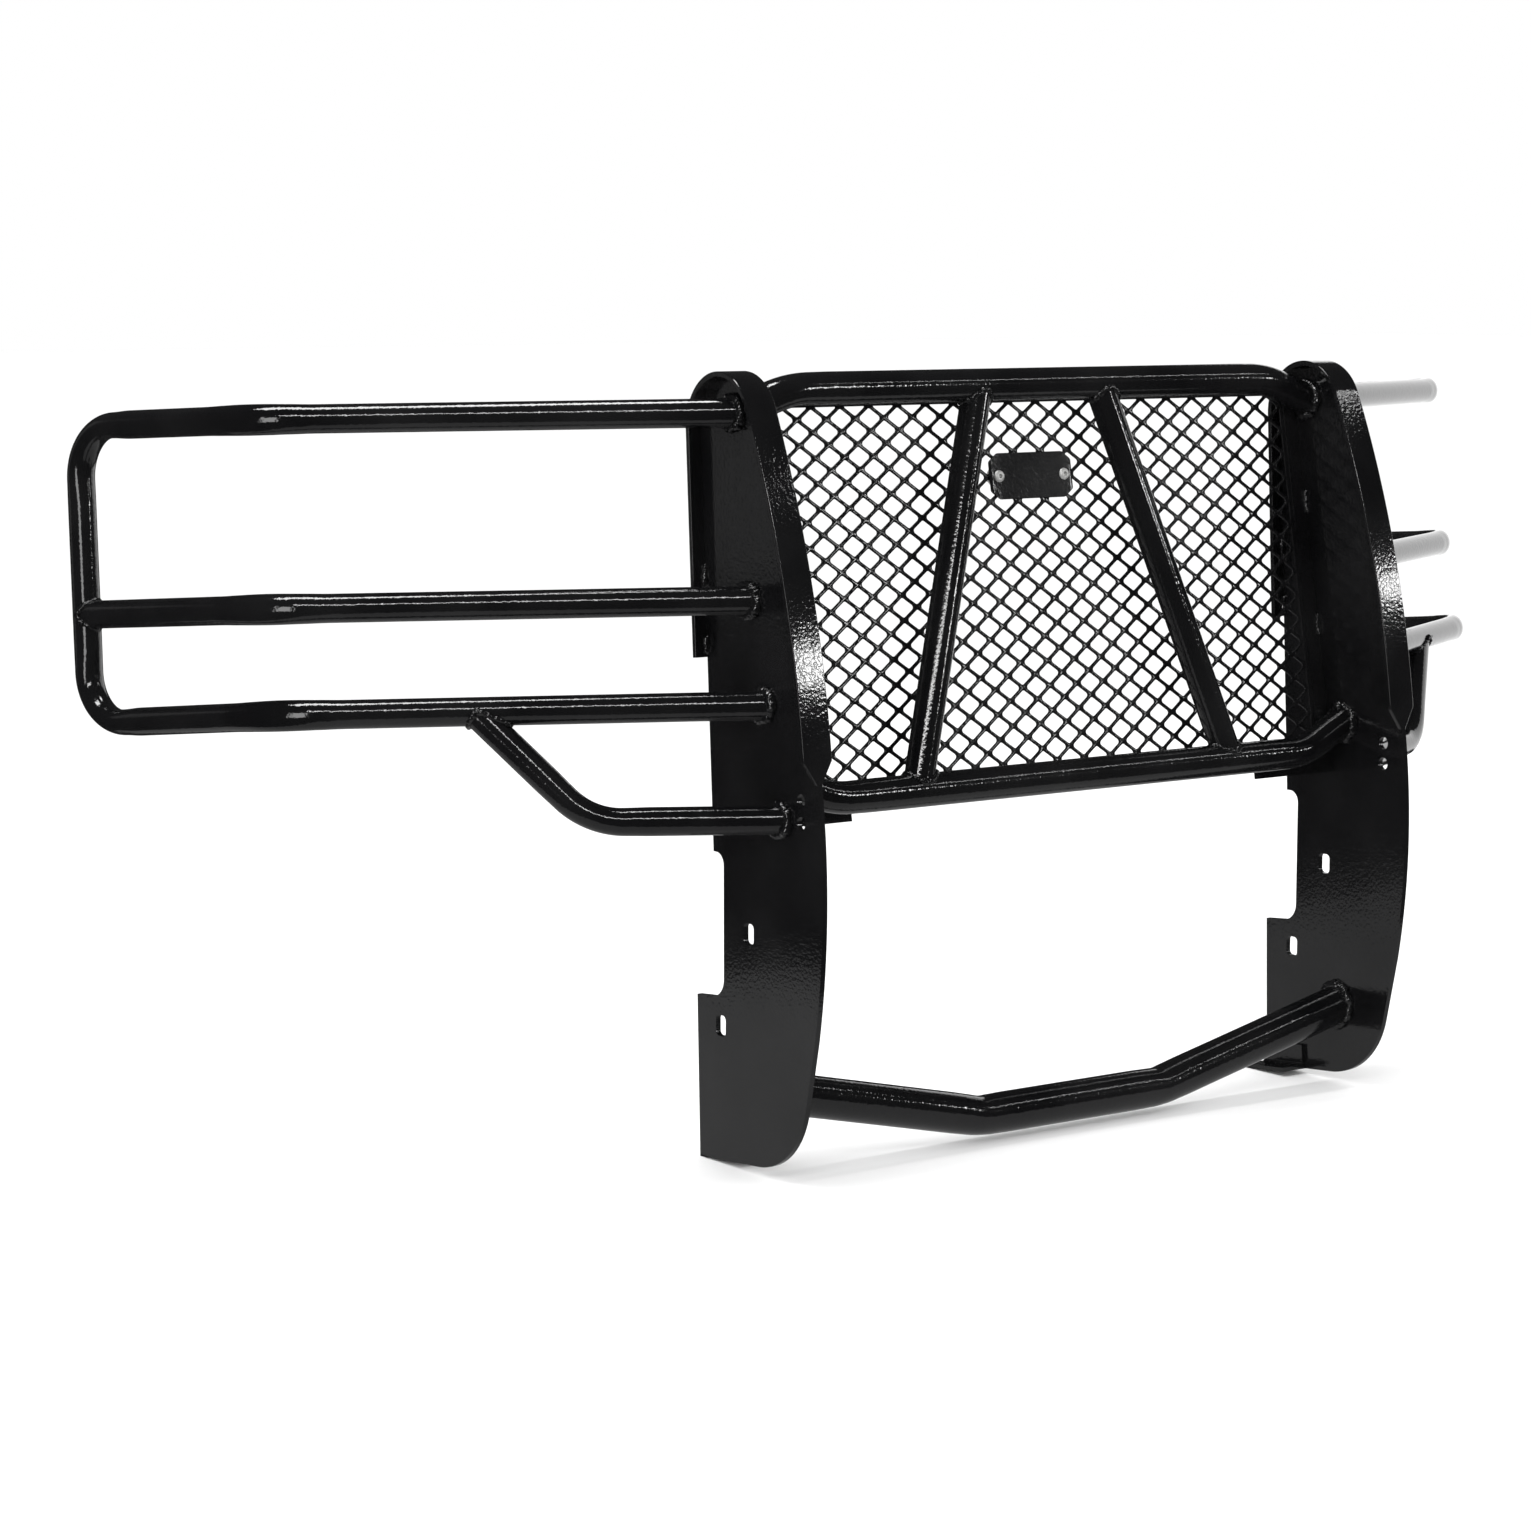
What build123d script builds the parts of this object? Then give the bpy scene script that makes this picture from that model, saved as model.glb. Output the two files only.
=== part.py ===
from build123d import *

import os
from math import cos, radians, sin, tan

# Front grille guard for a pickup truck: a welded steel guard with wrap-round headlight wings.
# Millimetres. +Z is up, the guard's front faces -Y, and X = 0 is its plane of symmetry.
# The origin is at the centre of the whole guard in plan, at the height of its lowest point.
# Depths are given as distances behind the guard's foremost edge, heights above its lowest point.

overall_depth = 719.7
front_edge_y = -overall_depth / 2

# Plate work: webs, lower plates and the flat bar that caps each web
plate_t = 6.35
upright_x = 434.0
web_outer_x = upright_x + plate_t / 2
web_inner_x = upright_x - plate_t / 2
cap_width = 38.0
cap_t = 6.35

# Upright outline, drawn on the cap strip's outer face
crown_centre = (177.0, 826.5)
crown_radius = 63.0
rear_lean = 3.0
crown_front_angle = 24.5
front_arc_radius = 1285.0
front_end_angle = 7.0
cap_rear_end_h = 571.5
cap_point_length = 26.0
seam_angle = 14.0

# Lower mounting plate
lower_front_mid = (0.5, 311.0)
lower_front_low = (14.0, 169.5)
bottom_corner = (47.0, 17.0)
bottom_corner_radius = 100.0
bottom_rear_corner = (237.0, 0.0)
notch_low_corner = (242.0, 187.0)
notch_inner_h = 192.0
notch_depth_d = 189.0
notch_low_radius = 22.0
notch_top_h = 354.5
notch_top_radius = 14.0
frame_slots = ((140.0, 270.0), (195.0, 158.0))
frame_slot_width = 19.0
frame_slot_length = 24.0
frame_slot_corner = 5.5
side_holes_d = 41.0
side_holes_h = (405.5, 430.5)
side_hole_diameter = 15.0

# Headlight wings: three runs of one tube size
wing_tube_d = 31.75
wing_tube_wall = 2.4
wing_starts = {"top": (167.0, 844.5), "middle": (137.5, 641.0), "bottom": (109.0, 528.0)}
wing_out = 455.0
wing_back = 264.0
wing_drop = 6.0
wing_bend_radius = 94.0
tip_out = {"top": 72.0, "bottom": 80.5}
tip_back = {"top": 278.0, "bottom": 303.0}
tip_drop = {"top": 15.0, "bottom": 33.0}
loop_corner_radius = 58.0
middle_tip_share = 0.367

# Brace below each wing
brace_start = (78.5, 405.5)
brace_run_out = 180.0
brace_run_back = 104.0
brace_top_share = 0.6
brace_bend_radius = 90.0

# Grille: two cross tubes, two V bars, a mesh panel behind them
grille_tube_d = 38.1
grille_tube_wall = 3.0
grille_low_axis = (100.0, 419.0)
grille_height = 456.0
grille_lean = 10.0
grille_bend_x = 352.0
grille_bend_radius = 120.0
grille_top_end = (186.5, 842.0)
grille_low_end = (111.5, 450.5)
v_bar_d = 34.9
v_bar_wall = 2.8
v_bar_top_x = 90.0
v_bar_low_x = 234.0

mesh_setback = 34.5
mesh_t = 2.2
mesh_pitch_x = 40.5
mesh_pitch_s = 29.0
mesh_strand = 4.2
mesh_columns = 20
mesh_rows = 15
mesh_margin = 5.0
mesh_centre = 223.0
side_bar_t = 5.0
tab_inner_x = 305.0
tab_low_s = -27.0
tab_t = 5.0

# Badge plate, blank, with its two bolts
badge_width = 122.0
badge_height = 54.0
badge_chamfer_x = 13.0
badge_chamfer_s = 9.5
badge_t = 3.0
badge_bolt_x = 48.5
badge_row = 4.5
bolt_d = 8.0
bolt_head_d = 14.0
bolt_head_h = 4.4
bolt_head_rounding = 3.3
bolt_socket_across = 5.0
bolt_socket_depth = 3.1
bolt_length = 20.0
washer_d = 24.0
washer_t = 2.0
nut_across_flats = 13.0
nut_t = 6.5

# Lower cross bar
cross_tube_d = 47.6
cross_tube_wall = 3.4
cross_end = (112.0, 97.0)
cross_mid = (109.0, 31.0)
cross_bend_x = 136.0
cross_bend_radius = 110.0

# Foot bracket inside each lower plate
foot_t = 5.0
foot_width = 38.0
foot_height = 30.0
foot_start_d = 166.0
foot_length = 70.0

# How far a tube runs on past the face or tube that it is trimmed to
trim_allowance = 45.0

lean_sin = sin(radians(grille_lean))
lean_cos = cos(radians(grille_lean))


def at(x, depth, height):
    """A point from its lateral place, its depth behind the front edge and its height."""
    return Vector(x, front_edge_y + depth, height)


def grille_point(x, along, behind=0.0):
    """A point of the leaning grille: along is up the lean, behind is square to it."""
    depth = grille_low_axis[0] + along * lean_sin + behind * lean_cos
    return at(x, depth, grille_low_axis[1] + along * lean_cos - behind * lean_sin)


def grille_plane(behind):
    """The leaning plane, facing forward, with its origin level with the lower grille tube."""
    return Plane(origin=grille_point(0, 0, behind), x_dir=(1, 0, 0), z_dir=(0, -lean_cos, lean_sin))


def side_plane(x):
    """A plane square to X, whose sketches are drawn in depth and height."""
    return Plane(origin=(x, front_edge_y, 0), x_dir=(0, 1, 0), z_dir=(1, 0, 0))


def tube(points, radius, diameter, wall):
    """A round tube along straight runs joined by tangent bends."""
    with BuildPart() as result:
        with BuildLine() as path:
            if len(points) > 2:
                FilletPolyline(*points, radius=radius)
            else:
                Line(*points)
        with BuildSketch(Plane(origin=path.line @ 0, z_dir=path.line % 0)):
            Circle(diameter / 2)
            if wall:
                Circle(diameter / 2 - wall, mode=Mode.SUBTRACT)
        sweep()
    return result.part


def extended(start, towards, distance):
    """The point beyond start, on the line from towards through start."""
    return start + (start - towards).normalized() * distance


def save(part, name):
    """Labels a finished piece and writes its STEP file."""
    part.label = name
    export_step(part, f"parts/{name}.step")


def save_pair(left_part, name):
    """Writes the left piece and its mirror image for the right side."""
    with BuildPart() as right:
        mirror(left_part, about=Plane.YZ)
    save(left_part, f"{name}_left")
    save(right.part, f"{name}_right")


def upright_outline(inset):
    """Outline of one upright above its seam, inset from the cap strip's outer face."""
    lean = radians(rear_lean)
    centre = Vector(*crown_centre)
    crown = crown_radius - inset
    front_arc = front_arc_radius - inset
    rear_low_h = notch_top_h
    rear_tangent = centre + Vector(cos(lean), -sin(lean)) * crown
    rear_low = rear_tangent - Vector(tan(lean), 1) * (rear_tangent.Y - rear_low_h)
    start_angle = radians(180 - crown_front_angle)
    front_start = centre + Vector(cos(start_angle), sin(start_angle)) * crown
    arc_centre = centre + Vector(cos(start_angle), sin(start_angle)) * (crown - front_arc)
    end_angle = radians(180 - front_end_angle)
    mid_angle = (start_angle + end_angle) / 2
    front_mid = arc_centre + Vector(cos(mid_angle), sin(mid_angle)) * front_arc
    front_end = arc_centre + Vector(cos(end_angle), sin(end_angle)) * front_arc
    end_slope = Vector(-sin(radians(front_end_angle)), -cos(radians(front_end_angle)))
    front_low = front_end + end_slope * cap_point_length
    with BuildSketch() as outline:
        with BuildLine():
            Line(rear_low, rear_tangent)
            ThreePointArc(rear_tangent, centre + Vector(0, crown), front_start)
            ThreePointArc(front_start, front_mid, front_end)
            Line(front_end, front_low)
            Line(front_low, rear_low)
        make_face()
    return outline.sketch, {"front_low": front_low, "rear_top": rear_tangent}


os.makedirs("parts", exist_ok=True)

cap_outer_face, cap_corners = upright_outline(0)
web_face, web_corners = upright_outline(cap_t)
cap_point = cap_corners["front_low"]
rear_top = cap_corners["rear_top"]


def web_rear_d(height):
    """Depth of the web's rear edge at a height."""
    top = web_corners["rear_top"]
    return top.X - (top.Y - height) * tan(radians(rear_lean))


def seam_h(depth):
    """Height of the seam between web and lower plate."""
    return cap_point.Y + (depth - cap_point.X) * tan(radians(seam_angle))


seam_rear_d = web_rear_d(seam_h(web_rear_d(cap_point.Y)))
seam_rear = Vector(seam_rear_d, seam_h(seam_rear_d))

# --- upright webs -----------------------------------------------------------------------
with BuildPart() as upright_web:
    with BuildSketch(side_plane(-upright_x)):
        add(web_face)
        with BuildLine():
            Polyline(
                (cap_point.X - cap_width, seam_h(cap_point.X - cap_width)),
                (seam_rear.X + cap_width, seam_h(seam_rear.X + cap_width)),
                (seam_rear.X + cap_width, 0),
                (cap_point.X - cap_width, 0),
                close=True,
            )
        make_face(mode=Mode.SUBTRACT)
    extrude(amount=plate_t / 2, both=True)
save_pair(upright_web.part, "upright_web")

# --- lower mounting plates --------------------------------------------------------------
with BuildPart() as lower_plate:
    with BuildSketch(side_plane(-upright_x)):
        with BuildLine():
            ThreePointArc(cap_point, lower_front_mid, lower_front_low)
            FilletPolyline(
                lower_front_low,
                bottom_corner,
                bottom_rear_corner,
                notch_low_corner,
                (notch_depth_d, notch_inner_h),
                (notch_depth_d, notch_top_h),
                (web_rear_d(notch_top_h), notch_top_h),
                seam_rear,
                radius=[bottom_corner_radius, 0, 0, notch_low_radius, notch_top_radius, 0],
            )
            Line(seam_rear, cap_point)
        make_face()
        with Locations(*frame_slots):
            RectangleRounded(frame_slot_width, frame_slot_length, frame_slot_corner, mode=Mode.SUBTRACT)
        with Locations(*[(side_holes_d, height) for height in side_holes_h]):
            Circle(side_hole_diameter / 2, mode=Mode.SUBTRACT)
    extrude(amount=plate_t / 2, both=True)
save_pair(lower_plate.part, "lower_plate")

# --- cap strips: flat bar over the web's edge, cut to a point at its front end ----------
with BuildPart() as cap_strip:
    with BuildSketch(side_plane(-upright_x)):
        add(cap_outer_face)
        add(web_face, mode=Mode.SUBTRACT)
        with BuildLine():
            Polyline(
                (notch_depth_d, cap_rear_end_h),
                (rear_top.X + cap_width, cap_rear_end_h),
                (rear_top.X + cap_width, 0),
                (notch_depth_d, 0),
                close=True,
            )
        make_face(mode=Mode.SUBTRACT)
        with BuildLine():
            Polyline(
                (cap_point.X - cap_width, seam_h(cap_point.X - cap_width)),
                (rear_top.X, seam_h(rear_top.X)),
                (rear_top.X, 0),
                (cap_point.X - cap_width, 0),
                close=True,
            )
        make_face(mode=Mode.SUBTRACT)
    extrude(amount=cap_width / 2, both=True)
    point_origin = (-upright_x, front_edge_y, cap_point.Y)
    for side in (-1, 1):
        with BuildSketch(Plane(origin=point_origin, x_dir=(1, 0, 0), z_dir=(0, -1, 0))):
            with BuildLine():
                Polyline(
                    (side * plate_t / 2, -cap_width),
                    (side * plate_t / 2, 0),
                    (side * cap_width / 2, cap_point_length),
                    (side * cap_width, cap_point_length),
                    (side * cap_width, -cap_width),
                    close=True,
                )
            make_face()
        extrude(amount=cap_width * 2, both=True, mode=Mode.SUBTRACT)
save_pair(cap_strip.part, "cap_strip")

# --- headlight wings --------------------------------------------------------------------
wing_root = {run: at(-web_outer_x, *place) for run, place in wing_starts.items()}
wing_step = Vector(-wing_out, wing_back, -wing_drop)
wing_knee = {run: root + wing_step for run, root in wing_root.items()}
wing_tip = {run: wing_knee[run] + Vector(-tip_out[run], tip_back[run], -tip_drop[run]) for run in tip_out}

loop_points = [
    extended(wing_root["top"], wing_knee["top"], trim_allowance),
    wing_knee["top"],
    wing_tip["top"],
    wing_tip["bottom"],
    wing_knee["bottom"],
    extended(wing_root["bottom"], wing_knee["bottom"], trim_allowance),
]
loop_radii = [wing_bend_radius, loop_corner_radius, loop_corner_radius, wing_bend_radius]
with BuildPart() as wing_loop:
    add(tube(loop_points, loop_radii, wing_tube_d, wing_tube_wall))
    split(bisect_by=Plane.YZ.offset(-web_outer_x), keep=Keep.BOTTOM)
save_pair(wing_loop.part, "wing_loop_tube")
loop_envelope = tube(loop_points, loop_radii, wing_tube_d, 0)

middle_tip = wing_tip["bottom"] + (wing_tip["top"] - wing_tip["bottom"]) * middle_tip_share
middle_start = extended(wing_root["middle"], wing_knee["middle"], trim_allowance)
with BuildPart() as wing_middle:
    add(tube([middle_start, wing_knee["middle"], middle_tip], wing_bend_radius, wing_tube_d, wing_tube_wall))
    split(bisect_by=Plane.YZ.offset(-web_outer_x), keep=Keep.BOTTOM)
    add(loop_envelope, mode=Mode.SUBTRACT)
save_pair(wing_middle.part, "wing_middle_tube")

# --- braces -----------------------------------------------------------------------------
brace_root = at(-web_outer_x, *brace_start)
brace_knee = brace_root + Vector(-brace_run_out, brace_run_back, 0)
brace_top = wing_root["bottom"] + wing_step * brace_top_share
brace_points = [extended(brace_root, brace_knee, trim_allowance), brace_knee, brace_top]
with BuildPart() as wing_brace:
    add(tube(brace_points, brace_bend_radius, wing_tube_d, wing_tube_wall))
    split(bisect_by=Plane.YZ.offset(-web_outer_x), keep=Keep.BOTTOM)
    add(loop_envelope, mode=Mode.SUBTRACT)
save_pair(wing_brace.part, "wing_brace_tube")

# --- grille tubes -----------------------------------------------------------------------


def grille_tube_points(axis_point, end):
    """Bend points of a grille tube, from past the left web to past the right one."""
    left_bend = Vector(-grille_bend_x, axis_point.Y, axis_point.Z)
    right_bend = Vector(grille_bend_x, axis_point.Y, axis_point.Z)
    left_end = extended(at(-web_inner_x, *end), left_bend, trim_allowance)
    right_end = extended(at(web_inner_x, *end), right_bend, trim_allowance)
    return [left_end, left_bend, right_bend, right_end]


def between_webs(cross_tube):
    """A tube that spans the guard, trimmed to the inner faces of both webs."""
    with BuildPart() as trimmed:
        add(cross_tube)
        split(bisect_by=Plane.YZ.offset(-web_inner_x), keep=Keep.TOP)
        split(bisect_by=Plane.YZ.offset(web_inner_x), keep=Keep.BOTTOM)
    return trimmed.part


top_points = grille_tube_points(grille_point(0, grille_height), grille_top_end)
low_points = grille_tube_points(grille_point(0, 0), grille_low_end)
save(between_webs(tube(top_points, grille_bend_radius, grille_tube_d, grille_tube_wall)), "grille_top_tube")
save(between_webs(tube(low_points, grille_bend_radius, grille_tube_d, grille_tube_wall)), "grille_bottom_tube")

# --- V bars, coped to both grille tubes -------------------------------------------------
with BuildPart() as v_bar:
    v_bar_points = [grille_point(-v_bar_low_x, 0), grille_point(-v_bar_top_x, grille_height)]
    add(tube(v_bar_points, 0, v_bar_d, v_bar_wall))
    add(tube(top_points, grille_bend_radius, grille_tube_d, 0), mode=Mode.SUBTRACT)
    add(tube(low_points, grille_bend_radius, grille_tube_d, 0), mode=Mode.SUBTRACT)
save_pair(v_bar.part, "v_bar")

# --- mesh panel: a flat sheet with staggered diamond holes ------------------------------
mesh_width = mesh_columns * mesh_pitch_x
mesh_length = mesh_rows * mesh_pitch_s
strand_angle = radians(Vector(mesh_pitch_x, mesh_pitch_s).get_angle(Vector(1, 0)))
hole_half_x = mesh_pitch_x / 2 - mesh_strand / 2 / sin(strand_angle)
hole_half_s = mesh_pitch_s / 2 - mesh_strand / 2 / cos(strand_angle)
mesh_plane = grille_plane(mesh_setback)
with BuildPart() as grille_mesh:
    with BuildSketch(grille_plane(mesh_setback + mesh_t / 2)):
        with Locations((0, mesh_centre)):
            Rectangle(mesh_width + 2 * mesh_margin, mesh_length + 2 * mesh_margin)
            for columns, rows in ((mesh_columns, mesh_rows), (mesh_columns - 1, mesh_rows - 1)):
                with GridLocations(mesh_pitch_x, mesh_pitch_s, columns, rows):
                    Polygon(
                        (hole_half_x, 0),
                        (0, hole_half_s),
                        (-hole_half_x, 0),
                        (0, -hole_half_s),
                        mode=Mode.SUBTRACT,
                    )
        for side in (-1, 1):
            with Locations((side * mesh_width / 2, mesh_centre)):
                with GridLocations(mesh_pitch_x, mesh_pitch_s, 1, mesh_rows - 1):
                    Polygon(
                        (0, hole_half_s),
                        (-side * hole_half_x, 0),
                        (0, -hole_half_s),
                        align=None,
                        mode=Mode.SUBTRACT,
                    )
            with Locations((0, mesh_centre + side * mesh_length / 2)):
                with GridLocations(mesh_pitch_x, mesh_pitch_s, mesh_columns - 1, 1):
                    Polygon(
                        (hole_half_x, 0),
                        (0, -side * hole_half_s),
                        (-hole_half_x, 0),
                        align=None,
                        mode=Mode.SUBTRACT,
                    )
    extrude(amount=mesh_t, clean=False)
save(grille_mesh.part, "grille_mesh")

# --- mesh side bars, between the mesh and the webs --------------------------------------
side_bar_low_s = mesh_centre - mesh_length / 2 - mesh_margin
side_bar_high_s = mesh_centre + mesh_length / 2 + mesh_margin
side_bar_inner_x = mesh_width / 2 + mesh_margin
with BuildPart() as side_bar:
    with BuildSketch(mesh_plane):
        with BuildLine():
            Polyline(
                (-side_bar_inner_x, side_bar_low_s),
                (-side_bar_inner_x, side_bar_high_s),
                (-web_inner_x, side_bar_high_s),
                (-web_inner_x, side_bar_low_s),
                close=True,
            )
        make_face()
    extrude(amount=side_bar_t / 2, both=True)
save_pair(side_bar.part, "mesh_side_bar")

# --- mesh tabs under the lower grille tube ----------------------------------------------
with BuildPart() as mesh_tab:
    with BuildSketch(mesh_plane):
        with BuildLine():
            Polyline(
                (-tab_inner_x, tab_low_s),
                (-tab_inner_x, side_bar_low_s),
                (-web_inner_x, side_bar_low_s),
                (-web_inner_x, tab_low_s),
                close=True,
            )
        make_face()
    extrude(amount=tab_t / 2, both=True)
save_pair(mesh_tab.part, "mesh_tab")

# --- badge plate and its fasteners ------------------------------------------------------
badge_s = mesh_centre + badge_row * mesh_pitch_s
grille_normal = Axis((0, 0, 0), (0, -lean_cos, lean_sin))
badge_back = mesh_setback - mesh_t / 2
badge_front = badge_back - badge_t
bolt_places = [(-badge_bolt_x, badge_s), (badge_bolt_x, badge_s)]
with BuildPart() as badge_plate:
    with BuildSketch(grille_plane(badge_back)):
        with Locations((0, badge_s)):
            Rectangle(badge_width, badge_height)
            for side_x in (-1, 1):
                for side_s in (-1, 1):
                    with BuildLine():
                        Polyline(
                            (side_x * badge_width / 2, side_s * (badge_height / 2 - badge_chamfer_s)),
                            (side_x * badge_width / 2, side_s * badge_height / 2),
                            (side_x * (badge_width / 2 - badge_chamfer_x), side_s * badge_height / 2),
                            close=True,
                        )
                    make_face(mode=Mode.SUBTRACT)
        with Locations(*bolt_places):
            Circle(bolt_d / 2, mode=Mode.SUBTRACT)
    extrude(amount=badge_t)
save(badge_plate.part, "badge_plate")

with BuildPart() as badge_bolts:
    with BuildSketch(grille_plane(badge_front)):
        with Locations(*bolt_places):
            Circle(bolt_d / 2)
    extrude(amount=-bolt_length)
    with BuildSketch(grille_plane(badge_front)):
        with Locations(*bolt_places):
            Circle(bolt_head_d / 2)
    extrude(amount=bolt_head_h)
    head_rims = badge_bolts.edges().filter_by(GeomType.CIRCLE).group_by(grille_normal)[-1]
    fillet(head_rims, bolt_head_rounding)
    with BuildSketch(grille_plane(badge_front - bolt_head_h)):
        with Locations(*bolt_places):
            RegularPolygon(bolt_socket_across / 2, 6, major_radius=False)
    extrude(amount=-bolt_socket_depth, mode=Mode.SUBTRACT)
save(badge_bolts.part, "badge_bolts")

washer_front = mesh_setback + mesh_t / 2
with BuildPart() as badge_washers:
    with BuildSketch(grille_plane(washer_front)):
        with Locations(*bolt_places):
            Circle(washer_d / 2)
            Circle(bolt_d / 2, mode=Mode.SUBTRACT)
    extrude(amount=-washer_t)
save(badge_washers.part, "badge_washers")

nut_front = washer_front + washer_t
with BuildPart() as badge_nuts:
    with BuildSketch(grille_plane(nut_front)):
        with Locations(*bolt_places):
            RegularPolygon(nut_across_flats / 2, 6, major_radius=False)
            Circle(bolt_d / 2, mode=Mode.SUBTRACT)
    extrude(amount=-nut_t)
save(badge_nuts.part, "badge_nuts")

# --- lower cross bar --------------------------------------------------------------------
cross_bends = [at(-cross_bend_x, *cross_mid), at(cross_bend_x, *cross_mid)]
cross_points = [
    extended(at(-web_inner_x, *cross_end), cross_bends[0], trim_allowance),
    *cross_bends,
    extended(at(web_inner_x, *cross_end), cross_bends[1], trim_allowance),
]
save(between_webs(tube(cross_points, cross_bend_radius, cross_tube_d, cross_tube_wall)), "lower_cross_bar")

# --- foot brackets: an angle along the lower edge of each plate -------------------------
edge_drop = bottom_rear_corner[1] - bottom_corner[1]
edge_slope = edge_drop / (bottom_rear_corner[0] - bottom_corner[0])
foot_low_h = bottom_rear_corner[1] + (foot_start_d - bottom_rear_corner[0]) * edge_slope
foot_origin = at(-web_inner_x, foot_start_d, foot_low_h)
foot_plane = Plane(origin=foot_origin, x_dir=(1, 0, 0), z_dir=(0, -1, -edge_slope))
with BuildPart() as foot_bracket:
    with BuildSketch(foot_plane):
        with BuildLine():
            FilletPolyline(
                (0, foot_height),
                (0, 0),
                (foot_width, 0),
                (foot_width, foot_t),
                (foot_t, foot_t),
                (foot_t, foot_height),
                radius=[0, 0, 0, foot_t / 2],
            )
            Line((foot_t, foot_height), (0, foot_height))
        make_face()
    extrude(amount=-foot_length)
save_pair(foot_bracket.part, "foot_bracket")
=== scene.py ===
import math

import bpy
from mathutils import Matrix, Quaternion, Vector, noise


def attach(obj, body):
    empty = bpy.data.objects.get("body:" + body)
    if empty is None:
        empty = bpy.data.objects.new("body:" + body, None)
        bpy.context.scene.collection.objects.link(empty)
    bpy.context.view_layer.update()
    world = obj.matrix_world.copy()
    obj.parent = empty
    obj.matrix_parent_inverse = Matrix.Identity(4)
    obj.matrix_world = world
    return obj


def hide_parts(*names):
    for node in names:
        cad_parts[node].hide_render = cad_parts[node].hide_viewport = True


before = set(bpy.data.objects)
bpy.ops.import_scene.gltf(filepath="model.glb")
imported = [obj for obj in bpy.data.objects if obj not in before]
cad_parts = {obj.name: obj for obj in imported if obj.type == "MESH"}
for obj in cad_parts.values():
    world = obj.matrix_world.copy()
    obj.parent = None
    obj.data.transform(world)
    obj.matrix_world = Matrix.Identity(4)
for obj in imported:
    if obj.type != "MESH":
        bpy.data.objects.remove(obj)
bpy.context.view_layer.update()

# Front grille guard, in metres. X = 0 is its plane of symmetry and its front faces -Y.
# Depths are measured back from the guard's foremost edge, heights from its lowest point.
OVERALL_DEPTH = 0.7197
FRONT_EDGE_Y = -OVERALL_DEPTH / 2
SIDES = {"left": -1, "right": 1}

PLATE_T = 0.00635
UPRIGHT_X = 0.434
WEB_OUTER_X = UPRIGHT_X + PLATE_T / 2
WEB_INNER_X = UPRIGHT_X - PLATE_T / 2
WEB_BITE = 0.0015

CAP_WIDTH = 0.038
CAP_T = 0.00635
CAP_EDGE_R = 0.0013
CROWN_CENTRE = (0.177, 0.8265)
CROWN_RADIUS = 0.063
REAR_LEAN = math.radians(3)
CROWN_FRONT_ANGLE = math.radians(24.5)
FRONT_ARC_RADIUS = 1.285
FRONT_END_ANGLE = math.radians(7)
CAP_REAR_END_H = 0.5715
CAP_POINT_LENGTH = 0.026

WING_R = 0.015875
WING_STARTS = {"top": (0.167, 0.8445), "middle": (0.1375, 0.641), "bottom": (0.109, 0.528)}
WING_STEP = Vector((-0.455, 0.264, -0.006))
WING_BEND_R = 0.094
TIP_STEPS = {"top": Vector((-0.072, 0.278, -0.015)), "bottom": Vector((-0.0805, 0.303, -0.033))}
LOOP_CORNER_R = 0.058
MIDDLE_TIP_SHARE = 0.367
BRACE_START = (0.0785, 0.4055)
BRACE_STEP = Vector((-0.180, 0.104, 0))
BRACE_TOP_SHARE = 0.6
BRACE_BEND_R = 0.090

GRILLE_R = 0.01905
GRILLE_LOW = (0.100, 0.419)
GRILLE_HEIGHT = 0.456
GRILLE_LEAN = math.radians(10)
GRILLE_BEND_X = 0.352
GRILLE_BEND_R = 0.120
GRILLE_TOP_END = (0.1865, 0.842)
GRILLE_LOW_END = (0.1115, 0.4505)
V_BAR_R = 0.01745
V_BAR_TOP_X = 0.090
V_BAR_LOW_X = 0.234

MESH_SETBACK = 0.0345
MESH_T = 0.0022
MESH_PITCH_X = 0.0405
MESH_PITCH_S = 0.029
MESH_STRAND = 0.0042
MESH_COLUMNS = 20
MESH_ROWS = 15
MESH_MARGIN = 0.005
MESH_CENTRE = 0.223

BADGE_WIDTH = 0.122
BADGE_HEIGHT = 0.054
BADGE_CHAMFER = (0.013, 0.0095)
BADGE_T = 0.003
BADGE_ROW = 4.5

CROSS_R = 0.0238
CROSS_END = (0.112, 0.097)
CROSS_MID = (0.109, 0.031)
CROSS_BEND_X = 0.136
CROSS_BEND_R = 0.110


def at(x, depth, height):
    """A point from its lateral place, its depth behind the front edge and its height."""
    return Vector((x, FRONT_EDGE_Y + depth, height))


def grille_point(x, along, behind=0.0):
    """A point of the leaning grille: along is up the lean, behind is square to it."""
    depth = GRILLE_LOW[0] + along * math.sin(GRILLE_LEAN) + behind * math.cos(GRILLE_LEAN)
    return at(x, depth, GRILLE_LOW[1] + along * math.cos(GRILLE_LEAN) - behind * math.sin(GRILLE_LEAN))


def on_side(point, sign):
    """The same point on the left (-1) or the right (1) of the guard."""
    return Vector((-sign * point.x, point.y, point.z))


# --- materials --------------------------------------------------------------------------


def new_material(name):
    """An empty node material with its shader and a coordinate node in object space."""
    material = bpy.data.materials.new(name)
    material.use_nodes = True
    nodes = material.node_tree.nodes
    shader = nodes["Principled BSDF"]
    coords = nodes.new("ShaderNodeTexCoord")
    return material, nodes, material.node_tree.links, shader, coords


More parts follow.
